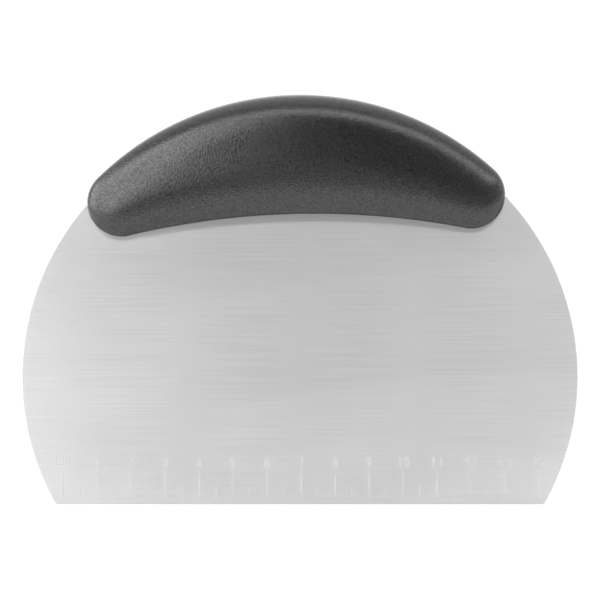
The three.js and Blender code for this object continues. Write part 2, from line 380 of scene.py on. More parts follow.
def finish_piece(name: str, mesh: bpy.types.Mesh, slot: str, *nodes: str) -> bpy.types.Object:
    """Makes a mesh a piece of the part: it rides on the body and stands for CAD nodes.

    Args:
        name: the piece's name.
        mesh: its mesh, in place.
        slot: not used.
        nodes: the CAD nodes that it stands for.

    Returns:
        The piece.
    """
    mesh.name = name
    piece = new_object(name, mesh)
    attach(piece, ROOT_BODY)
    if nodes:
        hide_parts(*nodes)
    LOG.info("%s: %d points, %d faces", name, len(mesh.vertices), len(mesh.polygons))
    return piece


def arc(centre: Point, radius: float, start: float, end: float, steps: int) -> list[Point]:
    """Points along an arc, ends included.

    Args:
        centre: the arc's centre.
        radius: its radius.
        start: the angle of the first point, in radians.
        end: the angle of the last point, in radians.
        steps: how many chords the arc is drawn with.

    Returns:
        The points, in order.
    """
    angles = [start + (end - start) * i / steps for i in range(steps + 1)]
    return [(centre[0] + radius * math.cos(a), centre[1] + radius * math.sin(a)) for a in angles]


def mirrored(right: Sequence[Point]) -> list[Point]:
    """The right half of an outline, joined to its mirror image."""
    return [*right, *((-x, z) for x, z in reversed(right))]


def upright_sheet(
    outlines: Sequence[Sequence[Point]], thickness: float, rim: float
) -> bpy.types.Mesh:
    """A flat sheet in the X-Z plane, with holes and with its rims broken to a small radius.

    Args:
        outlines: the outer outline and then the holes, each as points (x, z).
        thickness: of the sheet, half of it on each side of y = 0.
        rim: radius of the rounding along every edge.

    Returns:
        A closed mesh.
    """
    curve = bpy.data.curves.new("sheet", "CURVE")
    curve.dimensions = "2D"
    curve.fill_mode = "BOTH"
    curve.extrude = thickness / 2 - rim
    curve.bevel_depth = rim
    curve.bevel_resolution = 1
    curve.offset = -rim
    for outline in outlines:
        spline = curve.splines.new("POLY")
        spline.points.add(len(outline) - 1)
        for point, (x, z) in zip(spline.points, outline):
            point.co = (x, z, 0, 1)
        spline.use_cyclic_u = True
    drawing = new_object("drawing", curve)
    mesh = evaluated_mesh(drawing)
    bpy.data.objects.remove(drawing)
    mesh.transform(Matrix.Rotation(math.pi / 2, 4, "X"))
    tidy_mesh(mesh)
    return mesh


def round_bar(x: float, z: float, radius: float, length: float, sides: int = 48) -> bpy.types.Mesh:
    """A round bar along Y, centred on y = 0.

    Args:
        x: place of its axis.
        z: place of its axis.
        radius: of the bar.
        length: of the bar.
        sides: how many sides it is drawn with.

    Returns:
        A closed mesh.
    """
    work = bmesh.new()
    place = Matrix.Translation((x, 0, z)) @ Matrix.Rotation(math.pi / 2, 4, "X")
    ends = {"cap_ends": True, "radius1": radius, "radius2": radius}
    bmesh.ops.create_cone(work, segments=sides, depth=length, matrix=place, **ends)
    mesh = bpy.data.meshes.new("bar")
    work.to_mesh(mesh)
    work.free()
    return mesh


# ---- Finishes ---------------------------------------------------------------------------


def blank_material(name: str) -> tuple[bpy.types.Material, bpy.types.NodeTree, bpy.types.Node]:
    """Starts a material with one Principled BSDF in it.

    Args:
        name: the material's name.

    Returns:
        The material, its tree and its shader.
    """
    material = bpy.data.materials.new(name)
    material.use_nodes = True
    tree = material.node_tree
    return material, tree, tree.nodes["Principled BSDF"]


def stretched(tree: bpy.types.NodeTree, cell: Size) -> bpy.types.NodeSocket:
    """Object coordinates divided by the size of a pattern's cell.

    Args:
        tree: the material's tree.
        cell: the cell's size along X, Y and Z, in metres.

    Returns:
        The coordinates, one unit to a cell.
    """
    place = add_node(tree, "ShaderNodeTexCoord").outputs["Object"]
    scale = tuple(1 / size for size in cell)
    mapping = add_node(tree, "ShaderNodeMapping", inputs={"Vector": place, "Scale": scale})
    return mapping.outputs[0]


def noise(
    tree: bpy.types.NodeTree, cell: Size, detail: float, roughness: float = 0.5
) -> bpy.types.NodeSocket:
    """Noise with a real cell size, from 0 to 1.

    Args:
        tree: the material's tree.
        cell: the size of a cell along X, Y and Z, in metres.
        detail: how many finer octaves are laid over it.
        roughness: how strong those octaves are.

    Returns:
        The noise.
    """
    grain = {"Scale": 1.0, "Detail": detail, "Roughness": roughness}
    node = add_node(tree, "ShaderNodeTexNoise", inputs={"Vector": stretched(tree, cell), **grain})
    return node.outputs["Fac"]


def spread(
    tree: bpy.types.NodeTree, value: bpy.types.NodeSocket, low: float, high: float
) -> bpy.types.NodeSocket:
    """Stretches the middle of a noise over a range.

    Args:
        tree: the material's tree.
        value: noise from 0 to 1, most of it near 0.5.
        low: the result where the noise is NOISE_LOW or less.
        high: the result where the noise is NOISE_HIGH or more.

    Returns:
        The stretched value.
    """
    limits = {"From Min": NOISE_LOW, "From Max": NOISE_HIGH, "To Min": low, "To Max": high}
    node = add_node(tree, "ShaderNodeMapRange", inputs={"Value": value, **limits})
    return node.outputs["Result"]


def tint(
    tree: bpy.types.NodeTree,
    shader: bpy.types.Node,
    pattern: bpy.types.NodeSocket,
    dark: str,
    light: str,
) -> None:
    """Colours a shader between two shades, by a noise.

    Args:
        tree: the material's tree.
        shader: what is coloured.
        pattern: noise from 0 to 1.
        dark: the shade at the noise's low places.
        light: the shade at its high places.
    """
    factor = spread(tree, pattern, 0.0, 1.0)
    shades = {"Factor": factor, "A": srgb(dark), "B": srgb(light)}
    node = add_node(tree, "ShaderNodeMix", {"data_type": "RGBA"}, shades)
    tree.links.new(node.outputs["Result"], shader.inputs["Base Color"])


@dataclass(frozen=True)
class BrushedStainless:
    """18/10 stainless sheet, belt-brushed along its length.

    The grit leaves fine parallel scratches, so highlights smear across them: the sheet looks
    evenly pale with hair-thin streaks, instead of mirroring what stands in front of it.
    """

    dark: str = "d4d4d4"
    light: str = "ebebeb"
    roughness: float = 0.46
    roughness_swing: float = 0.03
    anisotropy: float = 1.0
    scratch_length: float = mm(34)
    scratch_pitch: float = mm(0.28)  # real grit is finer; this is as coarse as it needs to show
    scratch_depth: float = mm(0.0016)
    cloud: float = mm(26)  # handling marks: broad, barely darker patches
    scratch_share: float = 0.6  # of the tone; the clouds make the rest

    def material(self) -> bpy.types.Material:
        """Makes the material."""
        material, tree, shader = blank_material("brushed_stainless")
        cell = (self.scratch_length, self.scratch_length, self.scratch_pitch)
        scratches = noise(tree, cell, detail=3.0, roughness=0.7)
        clouds = noise(tree, (self.cloud * 2, self.cloud, self.cloud), detail=2.0)
        tone = Field(tree, scratches) * self.scratch_share
        tone = tone + Field(tree, clouds) * (1 - self.scratch_share)
        shader.inputs["Metallic"].default_value = 1.0
        shader.inputs["Anisotropic"].default_value = self.anisotropy
        tint(tree, shader, tone.socket, self.dark, self.light)
        low, high = self.roughness - self.roughness_swing, self.roughness + self.roughness_swing
        tree.links.new(spread(tree, scratches, low, high), shader.inputs["Roughness"])
        up_sheet = {"direction_type": "UV_MAP", "uv_map": Blade.GRAIN_MAP}
        grain = add_node(tree, "ShaderNodeTangent", up_sheet)
        tree.links.new(grain.outputs[0], shader.inputs["Tangent"])
        relief = {"Distance": self.scratch_depth, "Height": scratches}
        bump = add_node(tree, "ShaderNodeBump", inputs=relief)
        tree.links.new(bump.outputs[0], shader.inputs["Normal"])
        return material


@dataclass(frozen=True)
class EtchedStainless:
    """Stainless frosted by etching: the floor of each engraved line and numeral.

    The acid leaves an even matte surface that scatters light. From the front the marks read a
    shade lighter than the brushed sheet, and where the sheet mirrors a bright room, darker.
    """

    dark: str = "c9c9c9"
    light: str = "d7d7d7"
    roughness: float = 0.62
    grain: float = mm(0.12)
    depth: float = mm(0.006)

    def material(self) -> bpy.types.Material:
        """Makes the material."""
        material, tree, shader = blank_material("etched_stainless")
        frost = noise(tree, (self.grain,) * 3, detail=2.0)
        shader.inputs["Metallic"].default_value = 1.0
        shader.inputs["Roughness"].default_value = self.roughness
        tint(tree, shader, frost, self.dark, self.light)
        bump = add_node(tree, "ShaderNodeBump", inputs={"Distance": self.depth, "Height": frost})
        tree.links.new(bump.outputs[0], shader.inputs["Normal"])
        return material


@dataclass(frozen=True)
class SparkErodedPlastic:
    """Black polypropylene moulded against a spark-eroded cavity.

    The cavity's craters leave an even, fine orange-peel grain. It breaks highlights into
    sparkling specks and lifts the black to charcoal wherever a light is reflected.
    """

    dark: str = "0c0c0c"
    light: str = "222222"
    roughness: float = 0.18
    roughness_swing: float = 0.05
    ior: float = 1.54
    crater: float = mm(0.42)
    crater_depth: float = mm(0.07)
    pit: float = mm(0.25)
    pit_depth: float = mm(0.008)
    gloss: float = 0.5
    gloss_swing: float = 0.2  # the pits shade themselves, so they shine less than the lands

    def material(self) -> bpy.types.Material:
        """Makes the material."""
        material, tree, shader = blank_material("spark_eroded_polypropylene")
        craters = noise(tree, (self.crater,) * 3, detail=2.0, roughness=0.55)
        pits = noise(tree, (self.pit,) * 3, detail=1.0)
        shader.inputs["IOR"].default_value = self.ior
        tint(tree, shader, craters, self.dark, self.light)
        low, high = self.roughness - self.roughness_swing, self.roughness + self.roughness_swing
        tree.links.new(spread(tree, pits, low, high), shader.inputs["Roughness"])
        shine = spread(tree, craters, self.gloss - self.gloss_swing, self.gloss + self.gloss_swing)
        tree.links.new(shine, shader.inputs["Specular IOR Level"])
        fine = add_node(tree, "ShaderNodeBump", inputs={"Distance": self.pit_depth, "Height": pits})
        relief = {"Distance": self.crater_depth, "Height": craters, "Normal": fine.outputs[0]}
        coarse = add_node(tree, "ShaderNodeBump", inputs=relief)
        tree.links.new(coarse.outputs[0], shader.inputs["Normal"])
        return material


@dataclass(frozen=True)
class MouldedCore:
    """Natural black polypropylene straight from a plain tool: dull, with faint flow marks."""

    dark: str = "262627"
    light: str = "303031"
    roughness: float = 0.5
    ior: float = 1.49
    flow: Size = (mm(14), mm(3), mm(3))
    flow_depth: float = mm(0.03)

    def material(self) -> bpy.types.Material:
        """Makes the material."""
        material, tree, shader = blank_material("moulded_core_polypropylene")
        marks = noise(tree, self.flow, detail=2.0)
        shader.inputs["IOR"].default_value = self.ior
        shader.inputs["Roughness"].default_value = self.roughness
        tint(tree, shader, marks, self.dark, self.light)
        relief = {"Distance": self.flow_depth, "Height": marks}
        bump = add_node(tree, "ShaderNodeBump", inputs=relief)
        tree.links.new(bump.outputs[0], shader.inputs["Normal"])
        return material


@dataclass(frozen=True)
class PaleLaminate:
    """Pale matte laminate for the table: flat and clean, so that shadows stay soft."""

    dark: str = "f2f2f1"
    light: str = "f6f6f5"
    roughness: float = 0.8
    mottle: float = mm(60)
    glow: float = 0.15  # the table is lit from below, as a product table is

    def material(self) -> bpy.types.Material:
        """Makes the material."""
        material, tree, shader = blank_material("pale_laminate")
        shader.inputs["Roughness"].default_value = self.roughness
        shader.inputs["Emission Color"].default_value = srgb("ffffff")
        shader.inputs["Emission Strength"].default_value = self.glow
        mottle = noise(tree, (self.mottle,) * 3, detail=2.0)
        tint(tree, shader, mottle, self.dark, self.light)
        return material


# ---- Lettering --------------------------------------------------------------------------


@dataclass(frozen=True)
class Stroke:
    """One pull of the engraving cutter: a path in glyph units, a cap height being 1."""

    path: tuple[Point, ...]
    closed: bool = False


def bow(
    x: float, z: float, wide: float, tall: float, start: float, end: float
) -> tuple[Point, ...]:
    """Points along part of an ellipse, in glyph units.

    Args:
        x: its centre.
        z: its centre.
        wide: its radius along x.
        tall: its radius along z.
        start: the angle of the first point, in degrees.
        end: the angle of the last point, in degrees.

    Returns:
        The points.
    """
    steps = max(LEAST_BOW_STEPS, round(abs(end - start) / BOW_STEP))
    turns = [math.radians(start + (end - start) * i / steps) for i in range(steps + 1)]
    return tuple((x + wide * math.cos(t), z + tall * math.sin(t)) for t in turns)


def ring(x: float, z: float, wide: float, tall: float) -> Stroke:
    """A whole ellipse as one closed stroke."""
    return Stroke(bow(x, z, wide, tall, 0, 360)[:-1], closed=True)


FIVE_BOW = bow(0.27, 0.32, 0.22, 0.255, 125, -150)

# Plain upright numerals in glyph units, before the scale stretches them sideways.
NUMERALS: dict[str, tuple[Stroke, ...]] = {
    "0": (ring(0.28, 0.5, 0.21, 0.435),),
    "1": (Stroke(((0.11, 0.72), (0.34, 0.93), (0.34, 0.0))),),
    "2": (Stroke((*bow(0.28, 0.7, 0.21, 0.235, 165, -38), (0.07, 0.065), (0.51, 0.065))),),
    "3": (
        Stroke(bow(0.27, 0.715, 0.19, 0.22, 155, -90)),
        Stroke(bow(0.27, 0.28, 0.215, 0.215, 90, -155)),
    ),
    "4": (Stroke(((0.37, 0.0), (0.37, 0.92), (0.05, 0.27), (0.52, 0.27))),),
    "5": (Stroke(((0.48, 0.935), (0.15, 0.935), (0.1, 0.5), *FIVE_BOW)),),
    "6": (ring(0.285, 0.31, 0.2, 0.245), Stroke(bow(0.3, 0.42, 0.215, 0.515, 185, 60))),
    "7": (Stroke(((0.05, 0.935), (0.51, 0.935), (0.2, 0.0))),),
    "8": (ring(0.28, 0.71, 0.18, 0.225), ring(0.28, 0.275, 0.215, 0.21)),
    "9": (ring(0.275, 0.69, 0.2, 0.245), Stroke(bow(0.26, 0.58, 0.215, 0.515, 5, -120))),
}
NUMERAL_ADVANCE = 0.65  # from one numeral to the next, as a share of the cap height
NUMERAL_WIDTH = 0.56

# The unit, in square letters.
UNIT_LETTERS: tuple[Stroke, ...] = (
    Stroke(((0.68, 0.0), (0.0, 0.0), (0.0, 1.0), (0.68, 1.0))),
    Stroke(((0.93, 0.0), (0.93, 1.0), (1.77, 1.0), (1.77, 0.0))),
    Stroke(((1.35, 0.0), (1.35, 1.0))),
)
UNIT_WIDTH = 1.77


def ribbon(
    work: bmesh.types.BMesh, path: Sequence[Point], closed: bool, width: float, y0: float, y1: float
) -> None:
    """Adds a bar of rectangular section that follows a path in the X-Z plane.

    Args:
        work: the mesh that it is added to.
        path: the middle line, as points (x, z) in metres.
        closed: whether the path ends where it starts.
        width: across the path.
        y0: the side nearer the front.
        y1: the side nearer the back.
    """
    count = len(path)
    sections: list[list[bmesh.types.BMVert]] = []
    for i, (x, z) in enumerate(path):
        before = Vector(path[i - 1] if closed or i else path[0])
        after = Vector(path[(i + 1) % count] if closed or i < count - 1 else path[-1])
        here = Vector((x, z))
        arrive = (here - before).normalized() if (here - before).length else None
        leave = (after - here).normalized() if (after - here).length else None
        arrive, leave = arrive or leave, leave or arrive
        across = Vector((-(arrive + leave).y, (arrive + leave).x)).normalized()
        mitre = max(LEAST_MITRE, across.dot(Vector((-arrive.y, arrive.x))))
        out = across * (width / 2 / mitre)
        corners = [(1, y0), (1, y1), (-1, y1), (-1, y0)]
        sections.append([work.verts.new((x + s * out.x, y, z + s * out.y)) for s, y in corners])
    runs = count if closed else count - 1
    for i in range(runs):
        a, b = sections[i], sections[(i + 1) % count]
        for k in range(4):
            work.faces.new((a[k], a[(k + 1) % 4], b[(k + 1) % 4], b[k]))
    if not closed:
        work.faces.new(sections[0])
        work.faces.new(list(reversed(sections[-1])))


# ---- Blade ------------------------------------------------------------------------------


@dataclass
class Blade:
    """The stainless sheet: a straight ground edge, two side arcs and a tang in the handle."""

    handle: Handle
    side_radius: float = mm(77.1)
    widest_height: float = mm(37.6)
    corner_radius: float = mm(1.2)
    rim: float = mm(0.1)
    bevel_height: float = mm(2.1)
    edge_thickness: float = mm(0.4)
    tang_end_margin: float = mm(5.3)
    tang_top_inset: float = mm(7)
    tang_corner_radius: float = mm(4)
    shoulder_rise: float = mm(1.6)
    peg_hole_radius: float = mm(3.3)
    window_radius: float = mm(3.5)
    peg_end_margin: float = mm(12)
    anchor_rise: float = mm(12)
    arc_steps: int = 90
    corner_steps: int = 10
    tang_corner_steps: int = 8
    tang_top_steps: int = 24
    hole_steps: int = 40
    merge: float = mm(0.0002)
    crease: float = 4  # degrees: keeps the bevel and the engraving crisp

    GRAIN_MAP = "across_grain"

    def __post_init__(self) -> None:
        """Takes the sheet's width and thickness from the frame."""
        low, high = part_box("blade")
        self.width = high.x - low.x
        self.thickness = high.y - low.y
        self.side_centre = self.width / 2 - self.side_radius

    @property
    def tang_half_width(self) -> float:
        """Half the width of the tang, set by the handle's round ends."""
        return self.handle.end_x - self.tang_end_margin

    def anchors(self) -> list[tuple[float, float, float]]:
        """The tang's holes.

        Returns:
            For each, its place (x, z) in the handle's frame and its radius.
        """
        outer = self.tang_half_width - self.peg_end_margin
        peg, window = self.peg_hole_radius, self.window_radius
        places = zip((-outer, -outer / 2, 0.0, outer / 2, outer), (peg, window, peg, window, peg))
        return [(x, self.handle.underside(x) + self.anchor_rise, radius) for x, radius in places]

    def outline(self, grow: float = 0.0) -> list[Point]:
        """The sheet's outline, seen from the front.

        Args:
            grow: how far it is moved outwards all round.

        Returns:
            The points (x, z), anticlockwise from the left end of the edge.
        """
        corner = self.corner_radius
        inner = self.side_radius - corner
        drop = self.widest_height - corner
        corner_x = self.side_centre + math.sqrt(inner**2 - drop**2)
        corner_end = math.asin(-drop / inner)
        shoulder = self.handle.centre_height + self.handle.end_z + self.shoulder_rise + grow
        radius = self.side_radius + grow
        side_end = math.asin((shoulder - self.widest_height) / radius)
        centre = (self.side_centre, self.widest_height)
        half = self.tang_half_width + grow
        turn = self.tang_corner_radius + grow
        top_radius = self.handle.top_radius - self.tang_top_inset + grow
        top_z = self.handle.centre_height + self.handle.top_z
        reach = top_radius - turn
        tang_z = top_z + math.sqrt(reach**2 - (half - turn) ** 2)
        tang_end = math.acos((half - turn) / reach)
        right = [
            *arc((corner_x, corner), corner + grow, -math.pi / 2, corner_end, self.corner_steps),
            *arc(centre, radius, corner_end, side_end, self.arc_steps)[1:],
            (half, shoulder),
            *arc((half - turn, tang_z), turn, 0.0, tang_end, self.tang_corner_steps),
            *arc((0.0, top_z), top_radius, tang_end, math.pi / 2, self.tang_top_steps)[1:-1],
        ]
        return mirrored(right)

    def holes(self) -> list[list[Point]]:
        """Outlines of the tang's holes."""
        found = []
        for x, z, radius in self.anchors():
            at = self.handle.place @ Vector((x, 0, z))
            found.append(arc((at.x, at.z), radius, 2 * math.pi, 0.0, self.hole_steps)[:-1])
        return found

    def ground(self, mesh: bpy.types.Mesh) -> None:
        """Thins the sheet towards the scraping edge, as grinding both faces does.

        Args:
            mesh: the flat sheet, changed in place.
        """
        work = bmesh.new()
        work.from_mesh(mesh)
        everything = [*work.verts, *work.edges, *work.faces]
        line = (0, 0, self.bevel_height)
        bmesh.ops.bisect_plane(work, geom=everything, plane_co=line, plane_no=(0, 0, 1))
        least = self.edge_thickness / self.thickness
        for vert in work.verts:
            if vert.co.z < self.bevel_height:
                share = max(0.0, vert.co.z / self.bevel_height)
                vert.co.y *= least + (1 - least) * share
        work.to_mesh(mesh)
        work.free()

    def map_grain(self, mesh: bpy.types.Mesh) -> None:
        """Gives the mesh a UV map whose U runs up the sheet, across the brushing."""
        layer = mesh.uv_layers.new(name=self.GRAIN_MAP)
        for loop in mesh.loops:
            at = mesh.vertices[loop.vertex_index].co
            layer.data[loop.index].uv = (at.z / self.width, at.x / self.width)

    def build(self, steel: bpy.types.Material, etched: bpy.types.Material) -> bpy.types.Object:
        """Makes the blade with its scale cut into the front face.

        Args:
            steel: the sheet's finish.
            etched: the finish of the engraved floors.

        Returns:
            The piece.
        """
        sheet = upright_sheet([self.outline(), *self.holes()], self.thickness, self.rim)
        self.ground(sheet)
        sheet.materials.clear()
        sheet.materials.append(steel)
        scale = Scale(front=-self.thickness / 2, base=self.bevel_height)
        mesh = combined(sheet, scale.tools(etched), Joining.CUT, crossing=True)
        tidy_mesh(mesh, self.merge)
        self.map_grain(mesh)
        shade(mesh, self.crease)
        return finish_piece("blade_sheet", mesh, "blade_steel", "blade")


@dataclass
class Scale:
    """The engraved centimetre scale: its lines, numerals and unit."""

    front: float
    base: float
    centimetre: float = mm(10)
    count: int = 14
    shift: float = mm(0.3)  # of the whole scale, off the blade's centre line
    gap: float = mm(0.6)  # from the ground bevel to the foot of the lines
    line_width: float = mm(0.36)
    long_line: float = mm(6.8)
    short_line: float = mm(2.9)
    depth: float = mm(0.05)
    proud: float = mm(0.4)  # of the cutter in front of the sheet
    cap_height: float = mm(3.0)
    numeral_foot: float = mm(10.95)
    numeral_stretch: float = 1.15
    stroke_width: float = mm(0.4)
    unit_height: float = mm(2.2)
    unit_foot: float = mm(11.8)
    unit_stroke: float = mm(0.28)

    def line_tools(self, material: bpy.types.Material) -> bpy.types.Mesh:
        """The cutters of the lines: a long one at each centimetre, a short one between.

        Args:
            material: what the cut leaves behind.

        Returns:
            One mesh of separate blocks.
        """
        program = GeometryProgram("scale_lines")
        number = program.number
        pitch = number("Pitch", self.centimetre / 2)
        lines = program.count("Lines", 2 * self.count + 1)
        long_line = number("Long line", self.long_line)
        short_line = number("Short line", self.short_line)
        width = number("Line width", self.line_width)
        depth = number("Depth", self.depth)
        proud = number("Proud", self.proud)
        front = number("Front", self.front)
        foot = number("Foot", self.base + self.gap)
        start = number("Start", self.shift - self.count * self.centimetre / 2)
        tree = program.tree

        # One point for each line, along the scale.
        index = Field(tree, add_node(tree, "GeometryNodeInputIndex").outputs[0])
        odd = index.calculate("MODULO", 2.0)
        length = odd.choose(short_line, long_line)
        points = add_node(tree, "GeometryNodeMeshLine", {"mode": "OFFSET"}, {"Count": lines})
        across = front + (depth - proud) / 2.0
        place = combine(start + index * pitch, across, foot + length / 2.0)
        where = {"Geometry": points.outputs[0], "Position": place}
        set_place = add_node(tree, "GeometryNodeSetPosition", inputs=where)
        cube = add_node(tree, "GeometryNodeMeshCube", inputs={"Size": (1, 1, 1)})
        block = {"Instance": cube.outputs[0], "Scale": combine(width, depth + proud, length)}
        row = {"Points": set_place.outputs[0], **block}
        blocks = add_node(tree, "GeometryNodeInstanceOnPoints", inputs=row)
        return program.run(blocks.outputs[0], material)

    def lettering_tools(self, material: bpy.types.Material) -> bpy.types.Mesh:
        """The cutters of the numerals and the unit.

        Args:
            material: what the cut leaves behind.

        Returns:
            One mesh of bars that follow the strokes.
        """
        work = bmesh.new()
        y0, y1 = self.front - self.proud, self.front + self.depth
        for value in range(1, self.count + 1):
            text = str(value)
            wide = self.cap_height * self.numeral_stretch
            width = (NUMERAL_WIDTH + (len(text) - 1) * NUMERAL_ADVANCE) * wide
            left = self.shift + (value - self.count / 2) * self.centimetre - width / 2
            for place, digit in enumerate(text):
                x0 = left + place * NUMERAL_ADVANCE * wide
                for stroke in NUMERALS[digit]:
                    path = [
                        (x0 + x * wide, self.numeral_foot + z * self.cap_height)
                        for x, z in stroke.path
                    ]
                    ribbon(work, path, stroke.closed, self.stroke_width, y0, y1)
        high = self.unit_height
        x0 = self.shift - self.count * self.centimetre / 2 - UNIT_WIDTH * high / 2
        for stroke in UNIT_LETTERS:
            path = [(x0 + x * high, self.unit_foot + z * high) for x, z in stroke.path]
            ribbon(work, path, stroke.closed, self.unit_stroke, y0, y1)
        bmesh.ops.recalc_face_normals(work, faces=work.faces)
        mesh = bpy.data.meshes.new("lettering")
        work.to_mesh(mesh)
        work.free()
        mesh.materials.append(material)
        return mesh

    def tools(self, material: bpy.types.Material) -> list[bpy.types.Mesh]:
        """Every cutter of the scale."""
        lines = self.line_tools(material)
        tidy_mesh(lines)
        return [lines, self.lettering_tools(material)]


def combine(x: Field, y: Field, z: Field) -> bpy.types.NodeSocket:
    """Three fields as one vector."""
    node = add_node(x.tree, "ShaderNodeCombineXYZ", inputs={0: x.socket, 1: y.socket, 2: z.socket})
    return node.outputs[0]


# ---- Handle -----------------------------------------------------------------------------


@dataclass(frozen=True)
class RingSteps:
    """How finely a handle body is drawn: chords on each stretch of half a section."""

    seam: int
    crown: int
    flank: int
    lip: int
    underside: int
    along: int

    @property
    def half(self) -> int:
        """Chords in half a section."""
        return self.seam + self.crown + self.flank + self.lip + self.underside


class Detail(Enum):
    """Named levels of fineness."""

    SKIN = RingSteps(seam=3, crown=22, flank=14, lip=5, underside=2, along=220)
    CAVITY = RingSteps(seam=1, crown=12, flank=8, lip=2, underside=1, along=90)


@dataclass
class Handle:
    """The over-moulded handle: an arched bar, crowned on top and narrower at its lip."""

    length: float = mm(123)
    height: float = mm(35.1)
    top_radius: float = mm(84.9)
    end_radius: float = mm(10)
    centre_height: float = mm(103)
    shift: float = mm(-1.4)
    tilt: float = math.radians(1.3)
    lip_thickness: float = mm(5)
    lip_radius: float = mm(0.8)
    widest_share: float = 0.5
    crown_depth: float = mm(12)  # from the outline in to where the full thickness starts
    crown_fullness: float = 2.2
    end_thinning: float = 0.45  # share of the thickness that is gone at the ends
    wall: float = mm(2.6)
    seam_width: float = mm(0.12)
    seam_height: float = mm(0.035)
    bridge_radius: float = mm(3.2)
    fit: float = mm(0.05)  # between the skin and the blade where it comes out
    slot_rim: float = mm(0.01)
    bridge_bite: float = mm(1)  # of a bridge's length that is sunk in the skin
    body_merge: float = mm(0.001)
    skin_merge: float = mm(0.0005)
    crease: float = 32  # degrees: keeps the slot and the bridges crisp

    SEAM_SHARE = 0.2  # of the section's half thickness that the parting line takes at most
    LIP_TALL, LIP_THICK = 8.0, 3.0  # least times the lip's rounding goes into height and lip
    JUST_INSIDE, JUST_PAST = 0.99, 1.001  # the seam's end, and room for rounding errors
    MARGIN = 1e-4  # the same, at the ends of the other stretches
    NO_HEIGHT = 1e-7  # metres: below this the section is a point

    def __post_init__(self) -> None:
        """Takes the thickness from the frame, and works out the arcs of the outline."""
        low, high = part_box("grip")
        self.thickness = high.y - low.y
        self.end_x = self.length / 2 - self.end_radius
        self.top_z = self.height / 2 - self.top_radius
        reach = self.top_radius - self.end_radius
        self.end_z = self.top_z + math.sqrt(reach**2 - self.end_x**2)
        rise = self.end_z + self.height / 2
        spare = self.end_radius - rise
        self.low_radius = (self.end_x**2 + rise**2 - self.end_radius**2) / (2 * spare)
        self.low_z = -self.height / 2 - self.low_radius
        self.place = Matrix.Translation((self.shift, 0, self.centre_height)) @ Matrix.Rotation(
            -self.tilt, 4, "Y"
        )

    def underside(self, x: float) -> float:
        """Height of the underside at x, between the round ends."""
        return self.low_z + math.sqrt(self.low_radius**2 - x**2)

    def body(
        self, inset: float, seam: float, detail: Detail, material: bpy.types.Material
    ) -> bpy.types.Mesh:
        """The handle's shape drawn in by inset, about the handle's own middle.

        A flat grid is bent into shape: its first direction runs from end to end, and its
        second goes round the section, down the front and up the back.

        Args:
            inset: how far the shape is drawn in all round.
            seam: how far the parting line stands proud along the top.
            detail: how finely it is drawn.
            material: of the whole shape.

        Returns:
            A closed mesh.
        """
        steps = detail.value
        program = GeometryProgram("handle_body")
        number, tree = program.number, program.tree
        stations = program.count("Stations", steps.along + 1)
        ring_points = program.count("Ring points", 2 * steps.half + 1)
        drawn_in = number("Inset", inset)
        seam_height = number("Seam height", seam)
        seam_width = number("Seam width", self.seam_width)
        half_length = number("Half length", self.length / 2)
        half_thickness = number("Half thickness", self.thickness / 2)
        half_lip = number("Half lip", self.lip_thickness / 2)
        lip_radius = number("Lip radius", self.lip_radius)
        widest_share = number("Widest share", self.widest_share)
        crown_power = number("Crown fullness", self.crown_fullness)
        crown_depth = number("Crown depth", self.crown_depth)
        end_thinning = number("End thinning", self.end_thinning)
        end_radius = number("End radius", self.end_radius)
        top_radius = number("Top radius", self.top_radius)
        low_radius = number("Underside radius", self.low_radius)
        end_x = number("End centre X", self.end_x)
        end_z = number("End centre Z", self.end_z)
        top_z = number("Top centre Z", self.top_z)
        low_z = number("Underside centre Z", self.low_z)
        height = number("Height", self.height)

        sheet = {"Size X": 1.0, "Size Y": 1.0, "Vertices X": stations, "Vertices Y": ring_points}
        grid = add_node(tree, "GeometryNodeMeshGrid", inputs=sheet)
        position = add_node(tree, "GeometryNodeInputPosition").outputs[0]
        split = add_node(tree, "ShaderNodeSeparateXYZ", inputs={0: position})
        station, turn = Field(tree, split.outputs[0]), Field(tree, split.outputs[1]) + 0.5

        # w goes from 0 at the top of the section to 1 at the middle of its underside.
        front = turn < 0.5
        w = front.choose(turn * 2.0, 2.0 - turn * 2.0)
        seam_end = steps.seam / steps.half
        crown_end = seam_end + steps.crown / steps.half
        flank_end = crown_end + steps.flank / steps.half
        lip_end = flank_end + steps.lip / steps.half

        # The parting line is the same shape drawn in less, on the points next to the top.
        inside_seam = w < seam_end * self.JUST_INSIDE
        inset_here = drawn_in - inside_seam * seam_height

        # Along the handle: outline at x.
        x = (half_length - inset_here) * (station * math.pi).sine()
        along = abs(x)
        end_r, top_r = end_radius - inset_here, top_radius - inset_here
        low_r = low_radius + inset_here
        over_end = (end_r**2.0 - (along - end_x) ** 2.0).root()
        on_top = along < end_x * top_r / (top_r - end_r)
        on_low = along < end_x * low_r / (low_r + end_r)
        top = on_top.choose(top_z + (top_r**2.0 - along**2.0).root(), end_z + over_end)
        bottom = on_low.choose(low_z + (low_r**2.0 - along**2.0).root(), end_z - over_end)
        tall = top - bottom

        def filled(z: Field) -> Field:
            """Share of the full thickness at a height: it grows inwards from the outline."""
            beyond_end = end_x * (z - top_z) < along * (end_z - top_z)
            from_end = end_r - ((along - end_x) ** 2.0 + (z - end_z) ** 2.0).root()
            from_top = top_r - (along**2.0 + (z - top_z) ** 2.0).root()
            deep = beyond_end.choose(from_end, from_top).at_least(0.0)
            left = (1.0 - deep / (crown_depth - inset_here)).at_least(0.0)
            return (1.0 - left**crown_power).at_least(0.0) ** (1.0 / crown_power)

        def flank(rise: Field, lip: Field, widest: Field) -> Field:
            """Half thickness at a share of the section's height, from lip to thickest."""
            below = (1.0 - rise / widest_share).at_least(0.0)
            return lip + (widest - lip) * (1.0 - below**2.0)

